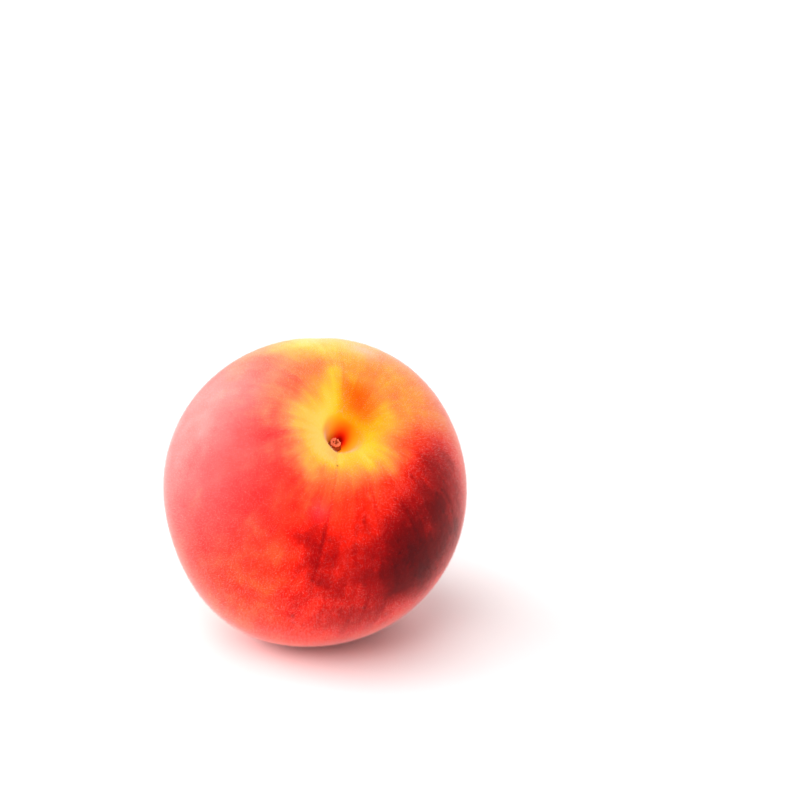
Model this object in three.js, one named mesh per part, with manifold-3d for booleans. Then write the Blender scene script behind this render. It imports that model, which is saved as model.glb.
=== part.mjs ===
// A whole ripe peach (Prunus persica) that lies on its cheek, with the stub of its stem in the stem cavity.
//
// Units are millimetres and +Z is up. The origin is the middle of the flat spot that the fruit rests on.
// The fruit is formed in a frame of its own: the stem end is at +Z, the tip at -Z, the suture (the seam that
// a peach splits along) runs down the +X side, and the left cheek is at +Y. There, `down` is the angle away
// from the stem end, and `round` is the angle about the stem from the suture towards the left cheek. The
// formed fruit is leaned towards -Y, so that its stem cavity looks forward and up, and the ground flattens
// it where it lies.

import * as THREE from "three";
import { mergeVertices } from "three/addons/utils/BufferGeometryUtils.js";
import Module from "manifold-3d";

const wasm = await Module();
wasm.setup();

const { abs, acos, cos, exp, hypot, PI, sin } = Math;
const { clamp, degToRad: degrees, smoothstep } = THREE.MathUtils;

// ---- Driving dimensions -------------------------------------------------------------------------------

// The body
const SUTURE_RADIUS = 38.6; // half the width from the suture to the side behind it
const CHEEK_RADIUS = 38.2; // half the width across the two cheeks
const HALF_HEIGHT = 38.3; // centre to either end, before the ends are sunk
const SHOULDER_SWELL = 0.03; // share by which the stem half is wider, and the tip half narrower

// The broad swells and the flat that keep a grown fruit from being a perfect ball
const SWELLS = [
  { height: 0.9, down: degrees(60), round: degrees(-26), spread: degrees(30) },
  { height: 1.0, down: degrees(122), round: degrees(160), spread: degrees(26) },
  { height: -0.8, down: degrees(112), round: degrees(112), spread: degrees(26) },
];

// Low lobes round the shoulder
const LOBES = { height: 0.3, count: 5, turn: degrees(40), at: degrees(24), spread: degrees(13) };

// The stem cavity: a wide bowl, and at its bottom a steep funnel that is wider on its front right side
const BOWL = { depth: 6.0, radius: 11.0 };
const FUNNEL = { depth: 8.0, radius: 4.1, skew: 0.24, widest: degrees(-110) };

// The tip: a shallow dip with a small point standing in it
const TIP_DIP = { depth: 1.0, spread: degrees(22) };
const TIP_POINT = { height: 1.4, spread: degrees(7) };

// The suture opens out of the cavity as a furrow, steep on its left under a raised bank and gentle on its
// right. It swings to the left over the shoulder, all but fades, and deepens again near the tip.
const FURROW = { depth: 3.2, at: degrees(13.5), spread: degrees(9.5), left: 2.6, right: 6.5 };
const BANK = { height: 0.2, aside: 3.6, halfWidth: 2.6, at: degrees(19), spread: degrees(10) };
const SEAM = { depth: 0.25, halfWidth: 3.0, tipDepth: 0.9, tipAt: degrees(155), tipSpread: degrees(28) };
const SWING = {
  turn: degrees(13),
  from: degrees(8),
  to: degrees(42),
  ebbs: degrees(70),
  gone: degrees(130),
};

// The line behind, opposite the suture: a notch in the lip of the funnel and a hair-fine crease below it
const NOTCH = { depth: 1.3, at: degrees(9.5), spread: degrees(5), halfWidth: 2.0 };
const CREASE = { depth: 0.16, halfWidth: 0.7, fades: degrees(50), gone: degrees(74) };

// The stub of the stem, a short woody pin whose broken end is hollowed
const STUB = { rootRadius: 1.5, waistRadius: 1.1, rimRadius: 1.3, length: 1.6, hollow: 0.45 };
const STUB_TILT = degrees(5); // towards the suture's side
const STUB_CLEARANCE = 0.35; // between the root of the stub and the cavity floor

// How the fruit lies
const STEM_LEAN = degrees(41); // of the stem end from +Z, towards -Y
const SUTURE_TURN = degrees(68); // of the suture about the stem, before the lean
const FRUIT_CENTRE = new THREE.Vector3(1.2, 0.1, 37.4); // above the middle of the flat spot

// How finely the skin is faceted, in bands from the stem end to the tip and in columns round the fruit.
// Columns crowd towards the suture and towards the line behind.
const ROW_BANDS = [
  { to: degrees(9), rows: 8 },
  { to: degrees(30), rows: 9 },
  { to: degrees(164), rows: 20 },
  { to: PI, rows: 5 },
];
const COLUMNS = 64;
const COLUMN_CROWDING = 0.5;
const STUB_SIDES = 14;
const STUB_CURVE_STEPS = 3;

// ---- The form of the fruit ----------------------------------------------------------------------------

// 1 at no distance, falling away round `spread`. A higher power gives a flatter top and a steeper edge.
function bell(distance, spread, power = 2) {
  return exp(-(abs(distance / spread) ** power));
}

// The fruit as a plain ball, before anything is raised from it or sunk in it.
function bodyPoint(down, round) {
  const width = sin(down) * (1 + SHOULDER_SWELL * cos(down));
  return new THREE.Vector3(
    SUTURE_RADIUS * width * cos(round),
    CHEEK_RADIUS * width * sin(round),
    HALF_HEIGHT * cos(down),
  );
}

function swellHeight(down, round) {
  let height = LOBES.height * cos(LOBES.count * round + LOBES.turn) * bell(down - LOBES.at, LOBES.spread);
  for (const swell of SWELLS) {
    const across = sin(down) * sin(swell.down) * cos(round - swell.round);
    const apart = acos(clamp(cos(down) * cos(swell.down) + across, -1, 1));
    height += swell.height * bell(apart, swell.spread);
  }
  return height;
}

// How far the suture lies below the body. `point` is the body's point there.
function sutureDepth(down, point) {
  const swingOver = 2 * smoothstep(down, SWING.from, SWING.to) - 1;
  const swing = SWING.turn * swingOver * (1 - smoothstep(down, SWING.ebbs, SWING.gone));
  const aside = point.y - CHEEK_RADIUS * sin(down) * sin(swing);

  const section = aside > 0 ? bell(aside, FURROW.left) : bell(aside, FURROW.right, 3);
  const furrow = FURROW.depth * bell(down - FURROW.at, FURROW.spread) * section;
  const bank = BANK.height * bell(down - BANK.at, BANK.spread) * bell(aside - BANK.aside, BANK.halfWidth);
  const seamDepth = SEAM.depth + SEAM.tipDepth * bell(down - SEAM.tipAt, SEAM.tipSpread);
  const beyondFurrow = smoothstep(down, FURROW.at, FURROW.at + FURROW.spread);
  const seam = seamDepth * bell(aside, SEAM.halfWidth) * beyondFurrow;
  return (furrow - bank + seam) * smoothstep(point.x, -2, 5);
}

// The same for the line behind.
function creaseDepth(down, point) {
  const notch = NOTCH.depth * bell(down - NOTCH.at, NOTCH.spread) * bell(point.y, NOTCH.halfWidth);
  const begun = smoothstep(down, NOTCH.at / 2, NOTCH.at);
  const left = 1 - smoothstep(down, CREASE.fades, CREASE.gone);
  const crease = CREASE.depth * bell(point.y, CREASE.halfWidth) * begun * left;
  return (notch + crease) * smoothstep(-point.x, 0, 4);
}

function cavityDepth(fromStem, round) {
  const funnelRadius = FUNNEL.radius * (1 + FUNNEL.skew * cos(round - FUNNEL.widest));
  return BOWL.depth * bell(fromStem, BOWL.radius, 3) + FUNNEL.depth * bell(fromStem, funnelRadius, 4);
}

function skinPoint(down, round) {
  const point = bodyPoint(down, round);
  const fromStem = hypot(point.x, point.y);
  const rise = swellHeight(down, round) - sutureDepth(down, point) - creaseDepth(down, point);
  point.setLength(point.length() + rise);
  if (down < PI / 2) point.z -= cavityDepth(fromStem, round);
  point.z += TIP_DIP.depth * bell(PI - down, TIP_DIP.spread);
  point.z -= TIP_POINT.height * bell(PI - down, TIP_POINT.spread);
  return point;
}

// ---- Meshes -------------------------------------------------------------------------------------------

// The angles of the rings of points between the stem end and the tip.
function rowAngles() {
  const angles = [];
  let start = 0;
  for (const band of ROW_BANDS) {
    for (let i = 1; i <= band.rows; i++) angles.push(start + ((band.to - start) * i) / band.rows);
    start = band.to;
  }
  return angles.slice(0, -1);
}

function columnAngles() {
  return Array.from({ length: COLUMNS }, (_, i) => {
    const even = (2 * PI * i) / COLUMNS;
    return even - (COLUMN_CROWDING / 2) * sin(2 * even);
  });
}

// A closed skin: one point at the stem end, a ring for each row, and one point at the tip.
function closedSkin(rows, columns, pointAt) {
  const points = [pointAt(0, 0)];
  for (const down of rows) {
    for (const round of columns) points.push(pointAt(down, round));
  }
  points.push(pointAt(PI, 0));

  const tip = points.length - 1;
  const lastRow = rows.length - 1;
  const at = (row, column) => 1 + row * columns.length + (column % columns.length);
  const faces = [];
  for (let column = 0; column < columns.length; column++) {
    faces.push(0, at(0, column), at(0, column + 1));
    for (let row = 0; row < lastRow; row++) {
      faces.push(at(row, column), at(row + 1, column), at(row + 1, column + 1));
      faces.push(at(row, column), at(row + 1, column + 1), at(row, column + 1));
    }
    faces.push(tip, at(lastRow, column + 1), at(lastRow, column));
  }
  return new THREE.BufferGeometry().setFromPoints(points).setIndex(faces);
}

function solidOf(geometry) {
  geometry.deleteAttribute("normal");
  geometry.deleteAttribute("uv");
  const merged = mergeVertices(geometry, 1e-4);
  return new wasm.Manifold(
    new wasm.Mesh({
      numProp: 3,
      vertProperties: merged.attributes.position.array,
      triVerts: new Uint32Array(merged.index.array),
    }),
  );
}

function geometryOf(solid) {
  const mesh = solid.getMesh();
  return new THREE.BufferGeometry()
    .setAttribute("position", new THREE.BufferAttribute(mesh.vertProperties, 3))
    .setIndex(new THREE.BufferAttribute(mesh.triVerts, 1));
}

// What would lie below the ground is taken off, which leaves the flat spot.
function restedOnGround(geometry) {
  const reach = 3 * CHEEK_RADIUS;
  const ground = new THREE.BoxGeometry(reach, reach, reach).translate(0, 0, -reach / 2);
  return geometryOf(solidOf(geometry).subtract(solidOf(ground)));
}

// The stub's outline, turned about its axis: rounded root, waist, flared rim and hollowed end.
function stubGeometry() {
  const { rootRadius, waistRadius, rimRadius, length, hollow } = STUB;
  const outline = new THREE.Path();
  outline.moveTo(0, 0);
  outline.quadraticCurveTo(rootRadius, 0, rootRadius, length * 0.2);
  outline.quadraticCurveTo(waistRadius, length * 0.3, waistRadius, length * 0.55);
  outline.quadraticCurveTo(waistRadius, length * 0.8, rimRadius, length * 0.9);
  outline.quadraticCurveTo(rimRadius, length, rimRadius * 0.75, length);
  outline.quadraticCurveTo(rimRadius * 0.35, length, 0, length - hollow);
  return new THREE.LatheGeometry(outline.getPoints(STUB_CURVE_STEPS), STUB_SIDES).rotateX(PI / 2);
}

// ---- The peach ----------------------------------------------------------------------------------------

const skin = new THREE.MeshStandardMaterial({ color: 0xf2603f, roughness: 0.75, metalness: 0 });
const stemWood = new THREE.MeshStandardMaterial({ color: 0x8a5a30, roughness: 0.9, metalness: 0 });

const lying = new THREE.Group();
lying.rotation.set(STEM_LEAN, 0, SUTURE_TURN);
lying.position.copy(FRUIT_CENTRE);
lying.updateMatrix();

const formed = closedSkin(rowAngles(), columnAngles(), skinPoint);
const fruit = new THREE.Mesh(restedOnGround(formed.applyMatrix4(lying.matrix)), skin);
fruit.name = "fruit";

const stub = new THREE.Mesh(stubGeometry(), stemWood);
stub.name = "stem_stub";
stub.position.z = skinPoint(0, 0).z + STUB_CLEARANCE;
stub.rotation.y = STUB_TILT;
lying.add(stub);

const peach = new THREE.Group();
peach.add(fruit, lying);

export default peach;
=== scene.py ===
# %% [markdown]
# # A ripe peach
#
# A whole peach lies on its cheek, with its stem cavity towards us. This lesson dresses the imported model: it
# makes the velvety skin with its suture, the fuzz, the stub of the stem and the scar at the tip, and lights
# them on a plain pale floor. All sizes are in metres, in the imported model's own frame: +Z is up, -Y is the
# front, and the origin is the middle of the flat spot that the fruit rests on.

import math

import bpy
import numpy as np
from mathutils import Matrix, Vector, noise


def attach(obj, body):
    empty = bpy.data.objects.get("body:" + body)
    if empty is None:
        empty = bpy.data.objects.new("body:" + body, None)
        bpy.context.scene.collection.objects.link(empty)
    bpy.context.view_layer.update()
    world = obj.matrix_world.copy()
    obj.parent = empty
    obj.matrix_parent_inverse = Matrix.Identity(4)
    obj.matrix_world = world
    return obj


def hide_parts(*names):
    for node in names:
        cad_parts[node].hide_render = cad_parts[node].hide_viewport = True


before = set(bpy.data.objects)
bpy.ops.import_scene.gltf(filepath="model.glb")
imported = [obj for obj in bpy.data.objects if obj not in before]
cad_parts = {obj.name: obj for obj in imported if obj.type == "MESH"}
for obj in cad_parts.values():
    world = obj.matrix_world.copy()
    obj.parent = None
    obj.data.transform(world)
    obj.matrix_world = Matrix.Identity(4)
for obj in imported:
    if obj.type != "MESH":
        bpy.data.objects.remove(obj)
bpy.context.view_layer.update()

MM = 0.001
DEGREE = math.pi / 180
BODY = "root"
print("packed nodes:", sorted(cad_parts))

# %% [markdown]
# ## How the fruit lies
#
# A peach is easiest to describe standing on its tip: the stem end on top, the tip below, and the suture, the
# seam that it splits along, down one side. So each shape and pattern here is worked out in that standing
# frame and then carried over to the lying fruit: turned about the stem, leaned forward and moved up.

# %% The lying pose
FRUIT_CENTRE = Vector((1.2, 0.1, 37.4)) * MM
STEM_LEAN = 41 * DEGREE
SUTURE_TURN = 68 * DEGREE

stand_to_lie = (
    Matrix.Translation(FRUIT_CENTRE)
    @ Matrix.Rotation(STEM_LEAN, 4, "X")
    @ Matrix.Rotation(SUTURE_TURN, 4, "Z")
)
stem_axis = (stand_to_lie.to_3x3() @ Vector((0, 0, 1))).normalized()
print("stem points along", [round(x, 3) for x in stem_axis])

# %% [markdown]
# ## Camera
#
# The fruit is seen from 20 degrees above, and from 21 degrees to the left of its front. A wide lens close by
# would swell the near cheek, so a long lens stands about 0.7 m away. The fruit lies left of the middle of
# the view and below it, which is reached by aiming to the right of the fruit and above it.

# %% Camera
VIEW_AZIMUTH = -20.8 * DEGREE
VIEW_ELEVATION = 20 * DEGREE
VIEW_DISTANCE = 700 * MM
AIM_RIGHT_OF_FRUIT = 21.8 * MM
AIM_ABOVE_FRUIT = 23.5 * MM
LENS_MM = 125
SENSOR_WIDTH_MM = 36
NEAREST_SEEN = 50 * MM


def aim_camera():
    back = Vector((
        math.sin(VIEW_AZIMUTH) * math.cos(VIEW_ELEVATION),
        -math.cos(VIEW_AZIMUTH) * math.cos(VIEW_ELEVATION),
        math.sin(VIEW_ELEVATION),
    ))
    right = Vector((0, 0, 1)).cross(back).normalized()
    up = back.cross(right)
    camera = bpy.data.objects.new("camera", bpy.data.cameras.new("camera"))
    camera.data.lens = LENS_MM
    camera.data.sensor_width = SENSOR_WIDTH_MM
    camera.data.clip_start = NEAREST_SEEN
    aim = FRUIT_CENTRE + right * AIM_RIGHT_OF_FRUIT + up * AIM_ABOVE_FRUIT
    turn = Matrix((right, up, back)).transposed().to_4x4()
    camera.matrix_world = Matrix.Translation(aim + back * VIEW_DISTANCE) @ turn
    bpy.context.scene.collection.objects.link(camera)
    bpy.context.scene.camera = camera
    return camera


camera = aim_camera()
print("camera at", [round(x, 3) for x in camera.matrix_world.translation])

# %% [markdown]
# ## Formulas as nodes
#
# Both the shape and the colours of the fruit follow formulas. A node tree can hold a formula, but dozens of
# Math nodes are hard to read in a script. So a small class stands for a value in a tree: arithmetic on it
# adds the Math nodes and their links, and the formula stays readable. It works in Geometry Nodes and in
# shaders alike, because both have the same Math, Map Range and Combine XYZ nodes.

# %% A value in a node tree
class Wire:
    """The output of a node. Arithmetic with it adds Math nodes to its tree."""

    def __init__(self, tree, socket):
        self.tree = tree
        self.socket = socket

    def math(self, operation, *others):
        return add_node(self.tree, "ShaderNodeMath", [self, *others], operation=operation)

    def __add__(self, other):
        return self.math("ADD", other)

    def __sub__(self, other):
        return self.math("SUBTRACT", other)

    def __rsub__(self, other):
        return (self * -1) + other

    def __mul__(self, other):
        return self.math("MULTIPLY", other)

    def __truediv__(self, other):
        return self.math("DIVIDE", other)

    def __pow__(self, other):
        return self.math("POWER", other)

    __radd__ = __add__
    __rmul__ = __mul__


def connect(tree, socket, value):
    """Feeds a socket: a wire is linked, and a plain number or colour is set on it."""
    if isinstance(value, Wire):
        tree.links.new(value.socket, socket)
    elif value is not None:
        socket.default_value = value


def add_node(tree, kind, values=(), output=0, **settings):
    """Adds a node with its settings and inputs, and gives back one output as a wire."""
    node = tree.nodes.new(kind)
    for name, value in settings.items():
        setattr(node, name, value)
    named = values.items() if isinstance(values, dict) else enumerate(values)
    for key, value in named:
        connect(tree, node.inputs[key], value)
    return Wire(tree, node.outputs[output])


print("a value in a tree is a", Wire.__name__)

# %% Functions for formulas
def sine(x):
    return x.math("SINE")


def cosine(x):
    return x.math("COSINE")


def bell(distance, spread, power=2):
    """1 at no distance, falling away round the spread. A higher power gives a flatter top."""
    share = (distance / spread).math("ABSOLUTE") ** power
    return (share * -1).math("EXPONENT")


def ease(x, low, high):
    """0 below low and 1 above high, with a smooth step between them."""
    return add_node(x.tree, "ShaderNodeMapRange", [x, low, high], interpolation_type="SMOOTHSTEP")


def vector(x, y, z):
    tree = next(value.tree for value in (x, y, z) if isinstance(value, Wire))
    return add_node(tree, "ShaderNodeCombineXYZ", [x, y, z])


def parts_of(point):
    """The X, Y and Z of a vector."""
    node = point.tree.nodes.new("ShaderNodeSeparateXYZ")
    point.tree.links.new(point.socket, node.inputs[0])
    return [Wire(point.tree, socket) for socket in node.outputs]


def length_of(point):
    return add_node(point.tree, "ShaderNodeVectorMath", [point], output=1, operation="LENGTH")


print("formula helpers ready")

# %% [markdown]
# ## The skin's form
#
# The outside of a peach follows rules: a nearly round body, a bowl and a funnel sunk where the stem grew, a
# furrow that runs out of them along the suture, a fine crease opposite, and a small point at the tip. It
# could be sculpted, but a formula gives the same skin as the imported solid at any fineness, so it is a
# Geometry Nodes tree. A flat grid is wrapped round the fruit: across it runs the angle round the stem, and
# along it the angle down from the stem end. The named lengths and angles below are inputs of the tree.

# %% Lengths of the fruit
FORM_MM = {
    "Suture Radius": 38.6,
    "Cheek Radius": 38.2,
    "Half Height": 38.3,
    "Lobe Height": 0.3,
    "Bowl Depth": 6.0,
    "Bowl Radius": 11.0,
    "Funnel Depth": 8.0,
    "Funnel Radius": 4.1,
    "Furrow Depth": 3.2,
    "Furrow Left": 2.6,
    "Furrow Right": 6.5,
    "Bank Height": 0.2,
    "Bank Aside": 3.6,
    "Bank Width": 2.6,
    "Seam Depth": 0.25,
    "Seam Tip Depth": 0.9,
    "Seam Width": 3.0,
    "Notch Depth": 1.3,
    "Notch Width": 2.0,
    "Crease Depth": 0.16,
    "Crease Width": 0.7,
    "Tip Dip": 1.0,
    "Tip Point": 1.4,
}

# How far past the stem the suture, on one side, and the crease, on the other, begin and are full
SUTURE_SIDE = (-2 * MM, 5 * MM)
CREASE_SIDE = (0, 4 * MM)
print(len(FORM_MM), "named lengths")

# %% Angles of the fruit
# Places, starts and ends are angles down from the stem end, and lengths and spreads are angles too. The
# furrow swings across the plane of the suture, and the seam beyond it swings back.
FORM_DEGREES = {
    "Lobe Turn": 40,
    "Lobe Place": 24,
    "Lobe Spread": 13,
    "Lobe Fade": 5,
    "Swing": 13,
    "Swing Start": 8,
    "Swing End": 42,
    "Swing Fade": 70,
    "Swing Gone": 130,
    "Furrow Place": 13.5,
    "Furrow Length": 9.5,
    "Bank Place": 19,
    "Bank Length": 10,
    "Seam Start": 13.5,
    "Seam Full": 23,
    "Seam Tip Place": 155,
    "Seam Tip Length": 28,
    "Notch Place": 9.5,
    "Notch Length": 5,
    "Crease Start": 4.75,
    "Crease Full": 9.5,
    "Crease Fade": 50,
    "Crease End": 74,
    "Dip Spread": 22,
    "Point Spread": 7,
}
LOBES = 5
FUNNEL_WIDEST = -110 * DEGREE

# Height in millimetres, then down, round and spread in degrees
SWELLS = [(0.9, 60, -26, 30), (1.0, 122, 160, 26), (-0.8, 112, 112, 26)]
print(len(FORM_DEGREES), "named angles,", len(SWELLS), "swells")

# %% Formulas of the form
SHOULDER_SWELL = 0.03
FUNNEL_SKEW = 0.24


def body_point(size, down, round_):
    """The fruit as a plain ball, before anything is raised from it or sunk in it."""
    width = sine(down) * (cosine(down) * SHOULDER_SWELL + 1)
    return (
        size["Suture Radius"] * width * cosine(round_),
        size["Cheek Radius"] * width * sine(round_),
        size["Half Height"] * cosine(down),
    )


def swell_height(size, down, round_):
    """Broad swells, and low lobes round the shoulder, which fade out before the pole."""
    lobes = cosine(round_ * LOBES + size["Lobe Turn"]) * bell(down - size["Lobe Place"], size["Lobe Spread"])
    height = lobes * size["Lobe Height"] * ease(down, 0, size["Lobe Fade"])
    for rise, swell_down, swell_round, spread in SWELLS:
        across = sine(down) * math.sin(swell_down * DEGREE) * cosine(round_ - swell_round * DEGREE)
        apart = (cosine(down) * math.cos(swell_down * DEGREE) + across).math("MINIMUM", 1).math("ARCCOSINE")
        height = height + bell(apart, spread * DEGREE) * (rise * MM)
    return height


def suture_depth(size, down, x, y):
    """The furrow out of the cavity, steep on its left under a bank, and the faint seam beyond it."""
    swing_over = ease(down, size["Swing Start"], size["Swing End"]) * 2 - 1
    swing = swing_over * (1 - ease(down, size["Swing Fade"], size["Swing Gone"])) * size["Swing"]
    aside = y - size["Cheek Radius"] * sine(down) * sine(swing)
    on_left = aside.math("GREATER_THAN", 0)
    left_bank, right_bank = bell(aside, size["Furrow Left"]), bell(aside, size["Furrow Right"], 3)
    section = on_left * left_bank + (1 - on_left) * right_bank
    furrow = size["Furrow Depth"] * bell(down - size["Furrow Place"], size["Furrow Length"]) * section
    bank = size["Bank Height"] * bell(down - size["Bank Place"], size["Bank Length"])
    bank = bank * bell(aside - size["Bank Aside"], size["Bank Width"])
    near_tip = bell(down - size["Seam Tip Place"], size["Seam Tip Length"])
    seam = (size["Seam Depth"] + size["Seam Tip Depth"] * near_tip) * bell(aside, size["Seam Width"])
    seam = seam * ease(down, size["Seam Start"], size["Seam Full"])
    return (furrow - bank + seam) * ease(x, *SUTURE_SIDE)


def crease_depth(size, down, x, y):
    """The notch in the lip of the funnel, and the hair-fine crease below it."""
    notch = size["Notch Depth"] * bell(down - size["Notch Place"], size["Notch Length"])
    notch = notch * bell(y, size["Notch Width"])
    begun = ease(down, size["Crease Start"], size["Crease Full"])
    left = 1 - ease(down, size["Crease Fade"], size["Crease End"])
    crease = size["Crease Depth"] * bell(y, size["Crease Width"]) * begun * left
    return (notch + crease) * ease(x * -1, *CREASE_SIDE)


def cavity_depth(size, down, round_, from_stem):
    funnel_radius = size["Funnel Radius"] * (cosine(round_ - FUNNEL_WIDEST) * FUNNEL_SKEW + 1)
    bowl = size["Bowl Depth"] * bell(from_stem, size["Bowl Radius"], 3)
    funnel = size["Funnel Depth"] * bell(from_stem, funnel_radius, 4)
    return (bowl + funnel) * down.math("LESS_THAN", math.pi / 2)


print("formulas ready: body, swells, suture, crease and cavity")

# %% Tools for geometry trees
def new_modifier_tree(name, inputs):
    """A geometry tree with named inputs, which come back as wires."""
    tree = bpy.data.node_groups.new(name, "GeometryNodeTree")
    tree.is_modifier = True
    tree.interface.new_socket("Geometry", in_out="OUTPUT", socket_type="NodeSocketGeometry")
    for label, (kind, value) in inputs.items():
        socket = tree.interface.new_socket(label, in_out="INPUT", socket_type=kind)
        if value is not None:
            socket.default_value = value
    entry = tree.nodes.new("NodeGroupInput")
    return tree, {label: Wire(tree, entry.outputs[label]) for label in inputs}


def end_modifier_tree(tree, geometry, material):
    """Every tree ends in real geometry with its material, since instances aren't exported."""
    real = add_node(tree, "GeometryNodeRealizeInstances", [geometry])
    dressed = add_node(tree, "GeometryNodeSetMaterial", {"Geometry": real, "Material": material})
    tree.links.new(dressed.socket, tree.nodes.new("NodeGroupOutput").inputs[0])


print("geometry tools ready")

# %% The tree that wraps the skin
COLUMNS = 360
ROWS = 262

# Rows crowd towards the stem end, and columns towards the suture and the crease.
COLUMN_CROWDING = 0.5
ROW_CROWDING = 0.5
WELD_DISTANCE = 0.005 * MM


def above_floor(tree):
    """The position of each point, raised to the floor where it would lie below it."""
    x, y, z = parts_of(add_node(tree, "GeometryNodeInputPosition"))
    return vector(x, y, z.math("MAXIMUM", 0))


def skin_tree():
    inputs = {name: ("NodeSocketFloat", value * MM) for name, value in FORM_MM.items()}
    inputs.update({name: ("NodeSocketFloat", value * DEGREE) for name, value in FORM_DEGREES.items()})
    inputs["Columns"] = ("NodeSocketInt", COLUMNS + 1)
    inputs["Rows"] = ("NodeSocketInt", ROWS + 1)
    inputs["Material"] = ("NodeSocketMaterial", None)
    tree, size = new_modifier_tree("peach skin form", inputs)

    grid = add_node(tree, "GeometryNodeMeshGrid", [1.0, 1.0, size["Columns"], size["Rows"]])
    grid_x, grid_y, _ = parts_of(add_node(tree, "GeometryNodeInputPosition"))
    across, along = grid_x + 0.5, grid_y + 0.5
    even = across * (2 * math.pi)
    round_ = even - sine(even * 2) * (COLUMN_CROWDING / 2)
    down = along * (along * ROW_CROWDING + (1 - ROW_CROWDING)) * math.pi

    x, y, z = body_point(size, down, round_)
    from_stem = length_of(vector(x, y, 0.0))
    swell = swell_height(size, down, round_)
    rise = swell - suture_depth(size, down, x, y) - crease_depth(size, down, x, y)
    stretch = rise / length_of(vector(x, y, z)) + 1
    from_tip = math.pi - down
    tip_dip = size["Tip Dip"] * bell(from_tip, size["Dip Spread"])
    tip_rise = tip_dip - size["Tip Point"] * bell(from_tip, size["Point Spread"])
    tipped = z * stretch - cavity_depth(size, down, round_, from_stem) + tip_rise
    wrapped = add_node(
        tree, "GeometryNodeSetPosition",
        {"Geometry": grid, "Position": vector(x * stretch, y * stretch, tipped)},
    )
    turned = add_node(tree, "GeometryNodeTransform", {"Geometry": wrapped, "Rotation": (0, 0, SUTURE_TURN)})
    lying = add_node(
        tree, "GeometryNodeTransform",
        {"Geometry": turned, "Rotation": (STEM_LEAN, 0, 0), "Translation": FRUIT_CENTRE},
    )
    rested = add_node(tree, "GeometryNodeSetPosition", {"Geometry": lying, "Position": above_floor(tree)})
    sealed = add_node(tree, "GeometryNodeMergeByDistance", {"Geometry": rested, "Distance": WELD_DISTANCE})
    outward = add_node(tree, "GeometryNodeFlipFaces", [sealed])
    smooth = add_node(tree, "GeometryNodeSetShadeSmooth", {"Geometry": outward})
    end_modifier_tree(tree, smooth, size["Material"])
    return tree


form_tree = skin_tree()
print("skin tree:", len(form_tree.nodes), "nodes for", COLUMNS * ROWS, "faces")

# %% From a tree to a plain mesh
def grow(name, tree, values, mesh=None):
    """Runs a tree with the given inputs, and keeps the result as a plain mesh object."""
    holder = bpy.data.objects.new(name + " tree", mesh or bpy.data.meshes.new(name + " tree"))
    bpy.context.scene.collection.objects.link(holder)
    modifier = holder.modifiers.new("form", "NODES")
    modifier.node_group = tree
    for item in tree.interface.items_tree:
        if item.in_out == "INPUT" and item.name in values:
            modifier[item.identifier] = values[item.name]
    bpy.context.view_layer.update()
    shape = holder.evaluated_get(bpy.context.evaluated_depsgraph_get())
    mesh = bpy.data.meshes.new_from_object(shape)
    bpy.data.objects.remove(holder)
    piece = bpy.data.objects.new(name, mesh)
    bpy.context.scene.collection.objects.link(piece)
    return piece


print("grow() ready")

# %% [markdown]
# ## Colours of the skin
#
# A ripe peach has two layers of colour. Below lies a golden ground colour, which shows in the stem cavity
# and along the suture, where little sun reached. Over it lies the blush, which the sun drew in patches and
# in faint streaks from the stem end towards the tip. It runs from orange through coral to crimson. An image
# wrapped round the fruit would fix all that to one size. Here the depth of the blush is one number, added up
# from soft patches, streaks and mottling, and colour ramps turn the number into the skin's colour. The
# patterns read Object coordinates, which a Mapping node turns back to the standing fruit. Each effect is a
# node group with named inputs, so that other fruit can use it with other numbers.

# %% Tools for shader groups
def paint(code):
    """A colour from its hex code, as linear light."""
    channels = [int(code[i:i + 2], 16) / 255 for i in (1, 3, 5)]
    return tuple(c / 12.92 if c <= 0.04045 else ((c + 0.055) / 1.055) ** 2.4 for c in channels) + (1,)


def shader_group(name, inputs, outputs):
    """A shader group with named sockets: gives its tree, its inputs as wires, and its output node."""
    tree = bpy.data.node_groups.new(name, "ShaderNodeTree")
    for label, value in inputs.items():
        kind = "NodeSocketVector" if value is None else "NodeSocketFloat"
        socket = tree.interface.new_socket(label, in_out="INPUT", socket_type=kind)
        if value is not None:
            socket.default_value = value
    for label, kind in outputs.items():
        tree.interface.new_socket(label, in_out="OUTPUT", socket_type="NodeSocket" + kind)
    entry = tree.nodes.new("NodeGroupInput")
    leave = tree.nodes.new("NodeGroupOutput")
    return tree, {label: Wire(tree, entry.outputs[label]) for label in inputs}, leave


def place_group(tree, group, values, output=0):
    node = tree.nodes.new("ShaderNodeGroup")
    node.node_tree = group
    for key, value in values.items():
        connect(tree, node.inputs[key], value)
    return Wire(tree, node.outputs[output])


print("group tools ready")

# %% Tools for patterns and colours
def vector_math(tree, operation, *values, output=0):
    return add_node(tree, "ShaderNodeVectorMath", values, output=output, operation=operation)


def noise_at(tree, point, scale, detail=2.0):
    return add_node(tree, "ShaderNodeTexNoise", {"Vector": point, "Scale": scale, "Detail": detail})


def blend(tree, share, first, second):
    """The first colour, or the second where the share is 1."""
    values = {0: share, 6: first, 7: second}
    return add_node(tree, "ShaderNodeMix", values, output=2, data_type="RGBA")


def colour_ramp(tree, amount, stops):
    node = tree.nodes.new("ShaderNodeValToRGB")
    connect(tree, node.inputs["Fac"], amount)
    ramp = node.color_ramp
    while len(ramp.elements) < len(stops):
        ramp.elements.new(0.5)
    for element, (position, code) in zip(ramp.elements, stops):
        element.position = position
        element.color = paint(code)
    return Wire(tree, node.outputs["Color"])


def width_of(x, y):
    """The distance from the stem's axis, kept above 0 so that it can be divided by."""
    return (x * x + y * y + 1e-5) ** 0.5


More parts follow.
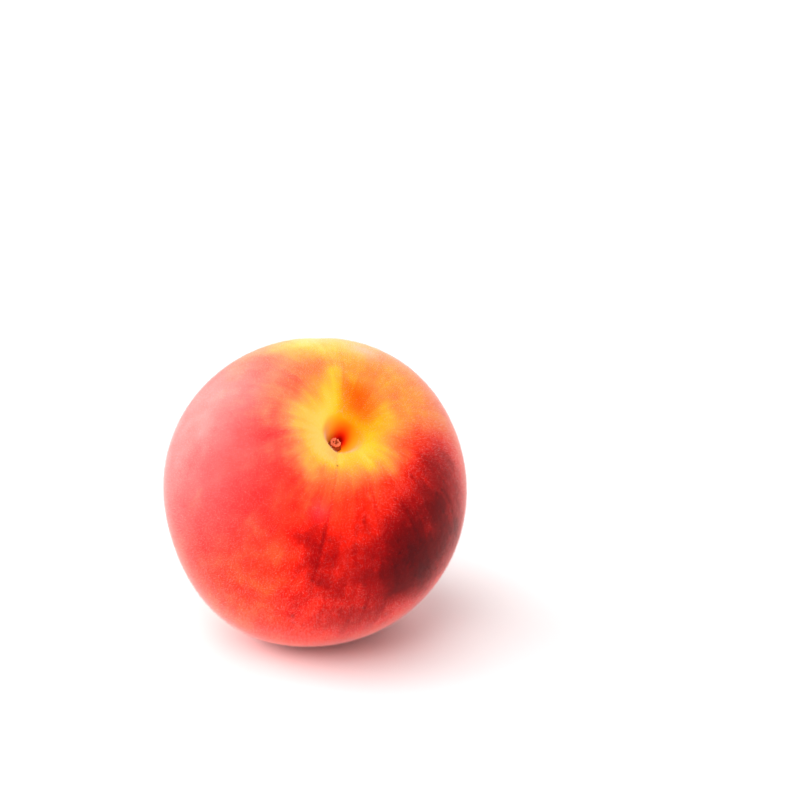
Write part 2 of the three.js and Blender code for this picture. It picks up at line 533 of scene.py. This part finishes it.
def bearing(down, round_):
    """The direction from the fruit's centre, for angles in degrees."""
    d, r = down * DEGREE, round_ * DEGREE
    return (math.sin(d) * math.cos(r), math.sin(d) * math.sin(r), math.cos(d))


print("pattern tools ready")

# %% Groups for patches, streaks, mottling and speckles
def make_patch_group():
    """1 in the middle of a round patch of skin, and 0 outside it. A power of 4 gives it a firmer edge."""
    inputs = {"Direction": None, "Centre": None, "Spread": 0.4, "Power": 2.0}
    tree, size, leave = shader_group("skin patch", inputs, {"Mask": "Float"})
    apart = vector_math(tree, "DISTANCE", size["Direction"], size["Centre"], output=1)
    connect(tree, leave.inputs["Mask"], bell(apart, size["Spread"], size["Power"]))
    return tree


def make_streak_group():
    """Streaks that run from the stem end to the tip, from about -1 to 1."""
    inputs = {"Direction": None, "Across": 6.0, "Along": 1.0}
    tree, size, leave = shader_group("meridian streaks", inputs, {"Streak": "Float"})
    x, y, z = parts_of(size["Direction"])
    across = size["Across"] / width_of(x, y)
    lane = vector(x * across, y * across, z.math("ARCCOSINE") * size["Along"])
    connect(tree, leave.inputs["Streak"], (noise_at(tree, lane, 1.0, 4.0) - 0.5) * 4)
    return tree


def make_mottle_group():
    """Cloudy unevenness with lumps of a given size, from about -1 to 1."""
    tree, size, leave = shader_group("mottle", {"Point": None, "Lump Size": 0.005}, {"Mottle": "Float"})
    clouds = noise_at(tree, size["Point"], size["Lump Size"] ** -1)
    connect(tree, leave.inputs["Mottle"], (clouds - 0.5) * 4)
    return tree


def make_speckle_group():
    """Fine round dots at a given spacing. Only a share of the places has one."""
    inputs = {"Point": None, "Spacing": 0.001, "Share": 0.5}
    tree, size, leave = shader_group("speckles", inputs, {"Mask": "Float"})
    cells = tree.nodes.new("ShaderNodeTexVoronoi")
    connect(tree, cells.inputs["Vector"], size["Point"])
    connect(tree, cells.inputs["Scale"], size["Spacing"] ** -1)
    dot = 1 - ease(Wire(tree, cells.outputs["Distance"]), 0.1, 0.35)
    chance = add_node(tree, "ShaderNodeSeparateColor", [Wire(tree, cells.outputs["Color"])])
    connect(tree, leave.inputs["Mask"], dot * chance.math("LESS_THAN", size["Share"]))
    return tree


skin_patch = make_patch_group()
meridian_streaks = make_streak_group()
mottle = make_mottle_group()
speckles = make_speckle_group()
print("groups:", [group.name for group in bpy.data.node_groups])

# %% [markdown]
# ## Where the blush lies
#
# The blush begins along a ragged ring round the cavity, about 20 degrees down from the stem end. Beyond it,
# one line per patch says where the skin took more or less of it: pale along the suture, mottled red in front,
# a deeper orange on the floor of the furrow that is partly painted shade, and a deep crimson spot round the
# root of the stem that is painted shadow in the gap between the stub and the funnel wall. Two broad patches
# with firmer edges make the dark crimson cheek at the front right, partly a real deep blush and partly
# painted shade from fruit that lay beside it. The patches could be painted by hand, but as lines of numbers
# they are easy to move.
#
# Some colours aren't a matter of depth. The left cheek is pinker than the rest, so it has a ramp of its own.
# Pale patches on it and on the top of the crest are painted sheen, where light along the rim lights the down;
# they are uneven in places. The funnel and the near side of the furrow are a purer gold than the skin around
# them. A small bruise and a dry dot lie below the lip, and a dry brown scar marks the tip.

# %% Patches of the blush
# Degrees down and round, the spread as a share of the fruit's radius, and the blush added
BLUSH_PATCHES = [
    (48, 16, 0.46, -0.47),
    (38, -48, 0.42, -0.28),
    (86, 8, 0.48, -0.30),
    (27, 72, 0.15, -0.15),
    (42, 46, 0.14, 0.08),
    (20, 40, 0.16, 0.08),
    (16, 62, 0.22, 0.08),
    (22, -95, 0.12, 0.08),
    (26, 112, 0.12, 0.10),
    (26, 150, 0.10, 0.07),
    (36, 130, 0.14, 0.05),
    (50, 146, 0.16, 0.04),
    (23, -162, 0.10, -0.08),
    (13, -160, 0.08, 0.10),
    (9, -80, 0.17, 0.20),
    (46, 172, 0.16, 0.16),
    (54, 162, 0.12, -0.12),
    (34, 174, 0.10, -0.06),
    (38, -98, 0.18, 0.10),
    (31, -131, 0.16, -0.12),
    (31, -172, 0.10, -0.03),
    (43, -86, 0.16, 0.12),
    # Partly painted shade: the deeper orange on the floor of the furrow under its bank, over a real flush
    (15, -24, 0.14, 0.42),
    # Painted shadow: the crimson in the gap between the stub and the funnel wall, round the root of the stem
    (3, -30, 0.046, 0.80),
    (180, 0, 0.45, -0.25),
]
# The dark crimson cheek at the front right: a real deep blush, darkened further as painted shade
DEEP_BLUSH_AND_SHADE_PATCHES = [(57, -118, 0.48, 0.34), (67, -158, 0.49, 0.21)]

# Blots are stronger in this patch than elsewhere.
BLOTCHY_PATCH = (58, 165, 0.55, 0.07)
BLOTCHY_ELSEWHERE = 0.015
print("the blush:", len(BLUSH_PATCHES) + len(DEEP_BLUSH_AND_SHADE_PATCHES), "patches")

# %% Edge and patterns of the blush
# How far down the edge lies, how much farther it reaches on the left cheek and in front, and how ragged it is
BLUSH_EDGE = 20.5 * DEGREE
EDGE_TO_CHEEK = 0.5 * DEGREE
EDGE_TO_FRONT = 2.0 * DEGREE
EDGE_SOFTNESS = 11 * DEGREE
EDGE_STREAKS = 1.4 * DEGREE
EDGE_FINE_STREAKS = 0.3 * DEGREE
EDGE_CLOUDS = 2.5 * DEGREE
BLUSH_BASE = 0.56

# Where the patterns begin, and how far each moves the blush at its strongest
PATTERNS_BEGIN = (8 * DEGREE, 30 * DEGREE)
STREAK_DEPTH = 0.045
FINE_STREAK_DEPTH = 0.032
CLOUD_DEPTH = 0.06
GRAIN_DEPTH = 0.022
CREASE_LINE_DEPTH = 0.07
FRECKLE_DEPTH = 0.05
DOT_DEPTH = 0.05

# Freckles and dots show only where the blush is this deep.
FLECKED_BLUSH = (0.3, 0.6)

# The dark line in the crease: where it begins and ends on the way down, then, as shares of the fruit's
# radius, how far in front of the stem it is full, and its half width
CREASE_LINE_BEGINS = (10 * DEGREE, 18 * DEGREE)
CREASE_LINE_ENDS = (FORM_DEGREES["Crease Fade"] * DEGREE, FORM_DEGREES["Crease End"] * DEGREE)
CREASE_LINE_SIDE = (-0.1, 0)
CREASE_LINE_WIDTH = 0.014
print("edge of the blush:", BLUSH_EDGE / DEGREE, "degrees from the stem")

# %% How deep the blush is
SKIN_RADIUS = 37.5 * MM


def undented_direction(tree, point):
    """The direction from the fruit's centre, as if nothing were sunk in round the stem."""
    x, y, z = parts_of(point)
    ball = (SKIN_RADIUS ** 2 - x * x - y * y).math("MAXIMUM", 0) ** 0.5
    upper = z.math("GREATER_THAN", 0)
    lifted = z.math("MAXIMUM", ball) * upper + z * (1 - upper)
    return vector_math(tree, "NORMALIZE", vector(x, y, lifted))


def patch(tree, direction, down, round_, spread, power=2.0):
    values = {"Direction": direction, "Centre": bearing(down, round_), "Spread": spread, "Power": power}
    return place_group(tree, skin_patch, values)


def blush_depth(tree, point, direction):
    x, y, z = parts_of(direction)
    down = z.math("ARCCOSINE")
    from_axis = width_of(x, y)
    streak = place_group(tree, meridian_streaks, {"Direction": direction, "Across": 5.0, "Along": 1.6})
    fine_streak = place_group(tree, meridian_streaks, {"Direction": direction, "Across": 22.0, "Along": 3.0})
    clouds = place_group(tree, mottle, {"Point": point, "Lump Size": 9 * MM})
    blots = place_group(tree, mottle, {"Point": point, "Lump Size": 5 * MM})
    grains = place_group(tree, mottle, {"Point": point, "Lump Size": 1.2 * MM})
    dots = place_group(tree, speckles, {"Point": point, "Spacing": 1.1 * MM, "Share": 0.5})
    freckles = place_group(tree, speckles, {"Point": point, "Spacing": 2.3 * MM, "Share": 0.3})

    edge = y / from_axis * EDGE_TO_CHEEK - x / from_axis * EDGE_TO_FRONT + BLUSH_EDGE
    ragged = streak * EDGE_STREAKS + fine_streak * EDGE_FINE_STREAKS + clouds * EDGE_CLOUDS
    depth = ease(down - edge + ragged, -EDGE_SOFTNESS, EDGE_SOFTNESS) * BLUSH_BASE
    for down_at, round_at, spread, amount in BLUSH_PATCHES:
        depth = depth + patch(tree, direction, down_at, round_at, spread) * amount
    # The dark cheek: real deep blush with painted shade over it
    for down_at, round_at, spread, amount in DEEP_BLUSH_AND_SHADE_PATCHES:
        depth = depth + patch(tree, direction, down_at, round_at, spread, 3.0) * amount

    blotchy = patch(tree, direction, *BLOTCHY_PATCH[:3]) * BLOTCHY_PATCH[3] + BLOTCHY_ELSEWHERE
    uneven = streak * STREAK_DEPTH + fine_streak * FINE_STREAK_DEPTH + clouds * CLOUD_DEPTH
    uneven = uneven + grains * GRAIN_DEPTH + blots * blotchy
    along_crease = (1 - ease(x, *CREASE_LINE_SIDE)) * ease(down, *CREASE_LINE_BEGINS)
    crease = bell(y, CREASE_LINE_WIDTH) * along_crease * (1 - ease(down, *CREASE_LINE_ENDS))
    on_blush = ease(depth, *FLECKED_BLUSH)
    marks = crease * CREASE_LINE_DEPTH + freckles * on_blush * FRECKLE_DEPTH - dots * on_blush * DOT_DEPTH
    return depth + uneven * ease(down, *PATTERNS_BEGIN) + marks


print("blush_depth() ready")

# %% Colours of the skin
BLUSH_COLOURS = [
    (0.00, "#FCCA5C"), (0.07, "#FDBE40"), (0.12, "#FDB02C"), (0.20, "#FC9A34"), (0.32, "#F97A38"),
    (0.44, "#F5582A"), (0.56, "#EE3416"), (0.68, "#DC1606"), (0.80, "#A80404"), (0.90, "#780306"),
    (1.00, "#540308"),
]
ROSE_COLOURS = [
    (0.10, "#FBC07A"), (0.30, "#F98A64"), (0.50, "#EC4448"), (0.70, "#D8242E"), (1.00, "#8C0A16"),
]
# Painted sheen: the pale pink that the down shows in rim light
PAINTED_SHEEN_COLOUR = "#FFC8C0"
BRUISE_COLOUR = "#A8405C"
SCAR_COLOUR = "#5C3418"

# A colour multiplied by this loses nearly all its blue.
PURE_GOLD = (1.0, 1.0, 0.04)

# Degrees down and round, the spread, and the share of the colour where it isn't whole
ROSE_PATCH = (62, 98, 0.72, 0.9)
GOLDEN_PATCHES = [(8, -45, 0.195), (16, -9, 0.115)]
# Painted sheen on the left cheek and on the top of the crest
PAINTED_SHEEN_PATCHES = [(66, 90, 0.42, 0.24), (50, 68, 0.30, 0.18), (41, -7, 0.10, 0.45)]
PAINTED_SHEEN_UNEVEN = 0.45
BRUISE = (36, 174, 0.06, 0.25)
TIP_SCAR = (180, 0, 0.03)
DRY_DOT = (17.2, 180, 0.008, 0.8)
print("colours in the ramps:", len(BLUSH_COLOURS), "and", len(ROSE_COLOURS))

# %% The skin's colour as a node group
def make_skin_colour_group():
    tree, size, leave = shader_group("peach skin colour", {"Point": None}, {"Color": "Color"})
    direction = undented_direction(tree, size["Point"])
    depth = blush_depth(tree, size["Point"], direction)
    warm = colour_ramp(tree, depth, BLUSH_COLOURS)
    rose = colour_ramp(tree, depth, ROSE_COLOURS)
    rose_share = patch(tree, direction, *ROSE_PATCH[:3], 4.0) * ROSE_PATCH[3]
    skin_colour = blend(tree, rose_share, warm, rose)
    golden = vector_math(tree, "MULTIPLY", skin_colour, PURE_GOLD)
    for down_at, round_at, spread in GOLDEN_PATCHES:
        skin_colour = blend(tree, patch(tree, direction, down_at, round_at, spread, 4.0), skin_colour, golden)
    # Painted sheen, where rim light catches the down, uneven in places
    uneven_sheen = place_group(tree, mottle, {"Point": size["Point"], "Lump Size": 7 * MM}) * PAINTED_SHEEN_UNEVEN + 1
    for down_at, round_at, spread, amount in PAINTED_SHEEN_PATCHES:
        painted_sheen = patch(tree, direction, down_at, round_at, spread) * uneven_sheen * amount
        skin_colour = blend(tree, painted_sheen, skin_colour, paint(PAINTED_SHEEN_COLOUR))
    bruise = patch(tree, direction, *BRUISE[:3]) * BRUISE[3]
    skin_colour = blend(tree, bruise, skin_colour, paint(BRUISE_COLOUR))
    scars = patch(tree, direction, *TIP_SCAR) + patch(tree, direction, *DRY_DOT[:3]) * DRY_DOT[3]
    connect(tree, leave.inputs["Color"], blend(tree, scars, skin_colour, paint(SCAR_COLOUR)))
    return tree


skin_colour = make_skin_colour_group()
print("skin colour group:", len(skin_colour.nodes), "nodes")

# %% [markdown]
# ## The skin's material
#
# The skin is thin, matt and a little translucent, and its down scatters light towards the rim. So the
# surface is rough, has hardly any mirror-like shine, lets some light through just below it, and has a pale
# sheen. Its bump has three sizes: the grain that the down leaves, fine pores, and a faint waviness.

# %% Tools for materials
def standing_point(tree):
    """The shaded point in the standing fruit's frame."""
    here = add_node(tree, "ShaderNodeTexCoord", output="Object")
    # A Mapping node turns about X first and Z last, as undoing the lie asks.
    turn_back = {
        "Vector": here,
        "Rotation": (-STEM_LEAN, 0, -SUTURE_TURN),
        "Location": stand_to_lie.inverted().translation,
    }
    return add_node(tree, "ShaderNodeMapping", turn_back)


def new_material(name, roughness):
    material = bpy.data.materials.new(name)
    material.use_nodes = True
    shader = material.node_tree.nodes["Principled BSDF"]
    shader.inputs["Roughness"].default_value = roughness
    return material, material.node_tree, shader


def add_bump(tree, shader, height, distance, strength):
    bump = add_node(tree, "ShaderNodeBump", {"Strength": strength, "Distance": distance, "Height": height})
    connect(tree, shader.inputs["Normal"], bump)


print("material tools ready")

# %% Skin
GRAIN_SIZE = 0.35 * MM
PORE_SPACING = 1.5 * MM
WAVE_LENGTH = 6 * MM
BUMP_HEIGHT = 0.06 * MM

# How high each stands, as a share of the bump's height
GRAIN_SHARE = 0.5
PORE_SHARE = 0.35
WAVE_SHARE = 1.2


def make_skin_material():
    material, tree, shader = new_material("peach skin", roughness=0.65)
    shader.inputs["Sheen Weight"].default_value = 0.6
    shader.inputs["Sheen Roughness"].default_value = 0.33
    shader.inputs["Specular IOR Level"].default_value = 0.03
    shader.inputs["Sheen Tint"].default_value = paint("#FFF6F2")
    shader.inputs["Subsurface Weight"].default_value = 0.15
    shader.inputs["Subsurface Radius"].default_value = (1.0, 0.35, 0.18)
    shader.inputs["Subsurface Scale"].default_value = 2.5 * MM
    point = standing_point(tree)
    connect(tree, shader.inputs["Base Color"], place_group(tree, skin_colour, {"Point": point}))
    grain = noise_at(tree, point, 1 / GRAIN_SIZE)
    pores = place_group(tree, speckles, {"Point": point, "Spacing": PORE_SPACING, "Share": 0.5})
    waves = place_group(tree, mottle, {"Point": point, "Lump Size": WAVE_LENGTH})
    height = grain * GRAIN_SHARE - pores * PORE_SHARE + waves * WAVE_SHARE
    add_bump(tree, shader, height, BUMP_HEIGHT, strength=0.5)
    return material


skin_material = make_skin_material()
skin = grow("peach_skin", form_tree, {"Material": skin_material})
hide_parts("fruit")
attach(skin, BODY)
reach = np.array([vertex.co for vertex in skin.data.vertices]) / MM
print("skin:", len(skin.data.polygons), "faces, from", reach.min(0).round(1), "to", reach.max(0).round(1))

# %% [markdown]
# ## The stub of the stem
#
# When the fruit was picked, the stem broke off and left a short woody stub at the bottom of the funnel. It
# is a turned shape that grew unevenly, so a script turns an outline, grooves its bark, and tears its hollow
# end lower at one side. Its root is drawn down into the skin, because the stem was grown into the fruit.

# %% Outline and surface of the stub
STUB_BASE = 24.674 * MM
STUB_TILT = 5 * DEGREE
STUB_OUTLINE_MM = [
    (0, -0.6), (1.1, -0.6), (1.55, -0.55), (1.75, -0.35), (1.68, -0.05), (1.5, 0.28), (1.36, 0.5),
    (1.17, 0.68), (1.1, 0.9), (1.13, 1.12), (1.24, 1.3), (1.3, 1.42), (1.27, 1.54), (1.14, 1.6),
    (0.98, 1.55), (0.82, 1.42), (0.64, 1.3), (0.42, 1.24), (0.2, 1.22), (0, 1.22),
]
CORNER_CUTS = 2
STUB_COLUMNS = 84

# Bark: the depth, number and turn in radians of each set of grooves, how deep grooves and lumps are as
# shares of the stub's radius, and how close together the lumps stand
GROOVES = [(0.5, 9, 0.6), (0.3, 17, 2.1), (0.3, 29, 0)]
GROOVE_SHARE = 0.03
LUMP_SHARE = 0.06
LUMPS_ACROSS = 3
LUMPS_ALONG = 2.5

# Torn end: the height where it begins, how far it is torn, frayed, sloped and sunk, and how close together
# its tears and fibres stand
TORN_FROM_MM = 1.0
TORN_WHOLLY_AFTER_MM = 0.2
TORN_MM = 0.5
TEARS_ACROSS = 2.6
TEARS_FROM = Vector((5, 3, 1))
FRAYED_MM = 0.12
FIBRES_ACROSS = 9
SLOPE_MM = Vector((0.5, -0.8, 0)) * 0.14
SUNK_MM = 0.05


def rounded(outline, times):
    """Cuts the corners of an outline, and keeps both ends."""
    for _ in range(times):
        cut = [outline[0]]
        for (r0, z0), (r1, z1) in zip(outline, outline[1:]):
            cut.append((0.75 * r0 + 0.25 * r1, 0.75 * z0 + 0.25 * z1))
            cut.append((0.25 * r0 + 0.75 * r1, 0.25 * z0 + 0.75 * z1))
        outline = cut + [outline[-1]]
    return outline


def stub_point(radius, height, angle):
    """Grooves run up the bark, and the end is torn and lower at one side."""
    across = Vector((math.cos(angle), math.sin(angle), 0))
    grooves = sum(depth * math.sin(count * angle + turn) for depth, count, turn in GROOVES)
    lumps = noise.noise(across * LUMPS_ACROSS + Vector((0, 0, height * LUMPS_ALONG)))
    wide = radius * (1 + GROOVE_SHARE * grooves * min(1, radius) + LUMP_SHARE * lumps)
    at_end = min(1, max(0, height - TORN_FROM_MM) / TORN_WHOLLY_AFTER_MM)
    torn = noise.noise(across * radius * TEARS_ACROSS + TEARS_FROM) * TORN_MM
    frayed = noise.noise(across * radius * FIBRES_ACROSS) * FRAYED_MM
    slope = SLOPE_MM.dot(across) * radius
    rise = at_end * (torn + frayed - slope - SUNK_MM)
    return (across * wide + Vector((0, 0, height + rise))) * MM


print("the stub stands", max(height for radius, height in STUB_OUTLINE_MM), "mm above the skin")

# %% Mesh of the stub
def make_stub(material):
    columns = STUB_COLUMNS
    outline = rounded(STUB_OUTLINE_MM, CORNER_CUTS)
    vertices = [stub_point(*outline[0], 0)]
    for radius, height in outline[1:-1]:
        for column in range(columns):
            vertices.append(stub_point(radius, height, 2 * math.pi * column / columns))
    vertices.append(stub_point(*outline[-1], 0))
    rings, last = len(outline) - 2, len(vertices) - 1
    faces = []
    for column in range(columns):
        beside = (column + 1) % columns
        faces.append((0, 1 + beside, 1 + column))
        faces.append((last, last - columns + column, last - columns + beside))
        for ring in range(rings - 1):
            low, high = 1 + ring * columns, 1 + (ring + 1) * columns
            faces.append((low + column, low + beside, high + beside, high + column))
    mesh = bpy.data.meshes.new("stem_stub_detail")
    mesh.from_pydata(vertices, [], faces)
    mesh.transform(stand_to_lie @ Matrix.Translation((0, 0, STUB_BASE)) @ Matrix.Rotation(STUB_TILT, 4, "Y"))
    mesh.shade_smooth()
    mesh.materials.append(material)
    piece = bpy.data.objects.new("stem_stub_detail", mesh)
    bpy.context.scene.collection.objects.link(piece)
    return piece


print("make_stub() ready")

# %% Stem wood
WOOD_COLOURS = [(0.0, "#5A1206"), (0.3, "#A04420"), (0.5, "#C8663A"), (0.75, "#F0825A"), (1.0, "#FFA080")]
FIBRE_WIDTH = 0.22 * MM
FIBRE_SQUEEZE = 0.15
END_HEIGHT = (1.1 * MM, 1.4 * MM)
UPPER_HEIGHT = 1.2 * MM
PITH_X = 0.25 * MM
PITH_Y = -0.15 * MM
PITH_RADIUS = (0.15 * MM, 0.45 * MM)

# What each adds to the tone, from the darkest wood at 0 to the palest at 1
FIBRE_TONE = 0.5
END_TONE = 0.5
UPPER_TONE = 0.12
PITH_TONE = -0.45


def make_stub_material():
    material, tree, shader = new_material("stem wood", roughness=0.85)
    shader.inputs["Specular IOR Level"].default_value = 0.2
    x, y, z = parts_of(standing_point(tree))
    height = z - STUB_BASE
    fibres = noise_at(tree, vector(x, y, z * FIBRE_SQUEEZE), 1 / FIBRE_WIDTH, 3.0)
    on_end = ease(height, *END_HEIGHT)
    from_pith = length_of(vector(x - PITH_X, y - PITH_Y, 0.0))
    in_pith = on_end * (1 - ease(from_pith, *PITH_RADIUS))
    up = ease(height, 0, UPPER_HEIGHT)
    tone = fibres * FIBRE_TONE + on_end * END_TONE + up * UPPER_TONE + in_pith * PITH_TONE
    connect(tree, shader.inputs["Base Color"], colour_ramp(tree, tone, WOOD_COLOURS))
    add_bump(tree, shader, fibres, distance=0.05 * MM, strength=0.6)
    return material


stub = make_stub(make_stub_material())
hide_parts("stem_stub")
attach(stub, BODY)
print("stub:", len(stub.data.polygons), "faces")

# %% [markdown]
# ## Fuzz
#
# Down covers a peach outside its funnel. From the front one looks along the hairs and hardly sees them, and
# at the rim they overlap into the pale halo of the fruit. Particle hair isn't exported, so a Geometry Nodes
# tree stands tiny three-sided cones on the skin, each with its own lean and length. They are split over four
# pieces, which differ in the seed alone. A hair is clear, so its colour is part its own and part that of the
# skin under it.

# %% Fuzz tree
FUZZ = {
    "Skin": ("NodeSocketGeometry", None),
    "Hairs per Area": ("NodeSocketFloat", 2.4e6),
    "Length": ("NodeSocketFloat", 0.45 * MM),
    "Radius": ("NodeSocketFloat", 0.013 * MM),
    "Lean": ("NodeSocketFloat", 0.35),
    "Bare Funnel": ("NodeSocketFloat", 5 * MM),
    "Bare Foot": ("NodeSocketFloat", 1.2 * MM),
    "Seed": ("NodeSocketInt", 1),
    "Material": ("NodeSocketMaterial", None),
}
SHORTEST_HAIR = 0.5
LONGEST_HAIR = 1.2
LEAN_SEED = 7
LENGTH_SEED = 3


def bare_skin(tree, size):
    """1 in the funnel and at the foot, where the fruit rests."""
    here = add_node(tree, "GeometryNodeInputPosition")
    from_centre = vector_math(tree, "SUBTRACT", here, tuple(FRUIT_CENTRE))
    from_axis = length_of(vector_math(tree, "CROSS_PRODUCT", from_centre, tuple(stem_axis)))
    along_stem = vector_math(tree, "DOT_PRODUCT", from_centre, tuple(stem_axis), output=1)
    in_funnel = along_stem.math("GREATER_THAN", 0) * from_axis.math("LESS_THAN", size["Bare Funnel"])
    at_foot = parts_of(here)[2].math("LESS_THAN", size["Bare Foot"])
    return in_funnel.math("MAXIMUM", at_foot)


def fuzz_tree():
    tree, size = new_modifier_tree("peach fuzz", FUZZ)
    scatter = tree.nodes.new("GeometryNodeDistributePointsOnFaces")
    connect(tree, scatter.inputs["Mesh"], size["Skin"])
    connect(tree, scatter.inputs["Selection"], bare_skin(tree, size).math("LESS_THAN", 0.5))
    connect(tree, scatter.inputs["Density"], size["Hairs per Area"])
    connect(tree, scatter.inputs["Seed"], size["Seed"])
    any_way = {"Min": (-1, -1, -1), "Max": (1, 1, 1), "Seed": LEAN_SEED}
    wander = add_node(tree, "FunctionNodeRandomValue", any_way, data_type="FLOAT_VECTOR")
    lean = add_node(tree, "ShaderNodeVectorMath", {0: wander, "Scale": size["Lean"]}, operation="SCALE")
    along = vector_math(tree, "ADD", Wire(tree, scatter.outputs["Normal"]), lean)
    turn = add_node(tree, "FunctionNodeAlignRotationToVector", {"Vector": along}, axis="Z")
    cone = {"Vertices": 3, "Radius Top": 0.0, "Radius Bottom": size["Radius"], "Depth": size["Length"]}
    any_length = {2: SHORTEST_HAIR, 3: LONGEST_HAIR, "Seed": LENGTH_SEED}
    tall = add_node(tree, "FunctionNodeRandomValue", any_length, output=1, data_type="FLOAT")
    hairs = {
        "Points": Wire(tree, scatter.outputs["Points"]),
        "Instance": add_node(tree, "GeometryNodeMeshCone", cone),
        "Rotation": turn,
        "Scale": vector(1.0, 1.0, tall),
    }
    end_modifier_tree(tree, add_node(tree, "GeometryNodeInstanceOnPoints", hairs), size["Material"])
    return tree


hair_tree = fuzz_tree()
print("fuzz tree:", len(hair_tree.nodes), "nodes")

# %% Fuzz
FUZZ_PIECES = 4
HAIR_COLOUR = "#FFF4F0"
HAIR_SHARE = 0.5

# The red of the skin under a hair, from where the hair shows none of its own colour to where it shows most
DARK_TO_LIGHT = (0.15, 0.7)


def make_fuzz_material():
    material, tree, shader = new_material("peach fuzz", roughness=0.7)
    under = place_group(tree, skin_colour, {"Point": standing_point(tree)})
    red = add_node(tree, "ShaderNodeSeparateColor", [under])
    seen = ease(red, *DARK_TO_LIGHT) * HAIR_SHARE
    connect(tree, shader.inputs["Base Color"], blend(tree, seen, under, paint(HAIR_COLOUR)))
    return material


fuzz_material = make_fuzz_material()
for number in range(1, FUZZ_PIECES + 1):
    choices = {"Material": fuzz_material, "Seed": number}
    fuzz = grow(f"peach_fuzz_{number}", hair_tree, choices, skin.data.copy())
    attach(fuzz, BODY)
    print(fuzz.name, len(fuzz.data.polygons), "faces")

# %% [markdown]
# ## Floor and light
#
# The light is bright and soft, as in a light tent: a white floor without an edge, a large lamp above on the
# left, a fill from the front that opens the cavity, and two lamps from behind that light the down along the
# rim. Area lamps would fall off over the floor. Sun lamps with a wide angle are as soft, and light the whole
# floor alike, so it stays white all the way back.

# %% Floor and light
FLOOR_HALF_WIDTH = 4.0
FLOOR_DROP = 0.05 * MM
PAPER_COLOUR = "#F3F3F3"
WORLD_STRENGTH = 0.3


def make_floor():
    square = ((-1, -1), (1, -1), (1, 1), (-1, 1))
    corners = [(x * FLOOR_HALF_WIDTH, y * FLOOR_HALF_WIDTH, -FLOOR_DROP) for x, y in square]
    mesh = bpy.data.meshes.new("floor")
    mesh.from_pydata(corners, [], [(0, 1, 2, 3)])
    material, _, shader = new_material("white paper", roughness=0.9)
    shader.inputs["Base Color"].default_value = paint(PAPER_COLOUR)
    mesh.materials.append(material)
    piece = bpy.data.objects.new("floor", mesh)
    bpy.context.scene.collection.objects.link(piece)


# Name, strength, angle in degrees, and where it shines from
LAMPS = [
    ("key", 2.0, 60, (-0.45, -0.30, 0.90)),
    ("fill", 1.3, 60, (-0.33, -0.88, 0.55)),
    ("left rim", 2.6, 50, (-0.85, 0.50, 0.35)),
    ("back rim", 1.0, 50, (0.35, 0.85, 0.55)),
]


def light_studio():
    world = bpy.data.worlds.new("studio")
    world.use_nodes = True
    background = world.node_tree.nodes["Background"]
    background.inputs["Color"].default_value = (1, 1, 1, 1)
    background.inputs["Strength"].default_value = WORLD_STRENGTH
    bpy.context.scene.world = world
    bpy.context.scene.view_settings.view_transform = "Standard"
    for name, strength, angle, source in LAMPS:
        light = bpy.data.lights.new(name, "SUN")
        light.energy = strength
        light.angle = angle * DEGREE
        lamp = bpy.data.objects.new(name, light)
        lamp.matrix_world = Vector(source).to_track_quat("Z", "Y").to_matrix().to_4x4()
        bpy.context.scene.collection.objects.link(lamp)


make_floor()
light_studio()
print("lamps:", [name for name, *_ in LAMPS])
